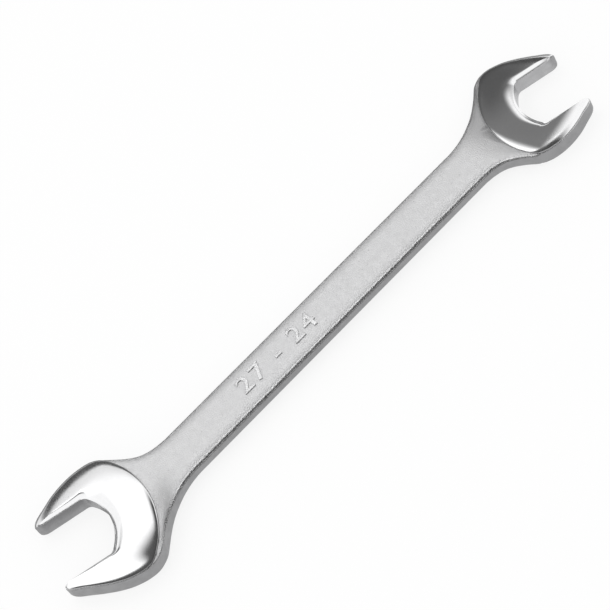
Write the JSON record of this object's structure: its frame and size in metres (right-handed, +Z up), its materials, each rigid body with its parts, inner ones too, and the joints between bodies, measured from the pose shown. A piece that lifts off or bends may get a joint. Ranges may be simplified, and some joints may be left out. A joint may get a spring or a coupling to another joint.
{
  "type": "double open end wrench",
  "caption": "Flat open end wrench: a satin chrome shank with a polished, domed jaw head at each end, both jaws turned by 15 degrees.",
  "frame": {"origin": "under the middle of the wrench's bounding box, on the surface that both heads lie on", "axes": "+X along the shank from the 27 mm head to the 24 mm head, +Z up through the thickness, +Y across the shank"},
  "size_m": [0.2636, 0.054, 0.0094],
  "materials": {
    "forging": "satin grained shank, polished heads"
  },
  "bodies": {
    "root": {"wrench_forging": "forging"}
  },
  "joints": []
}
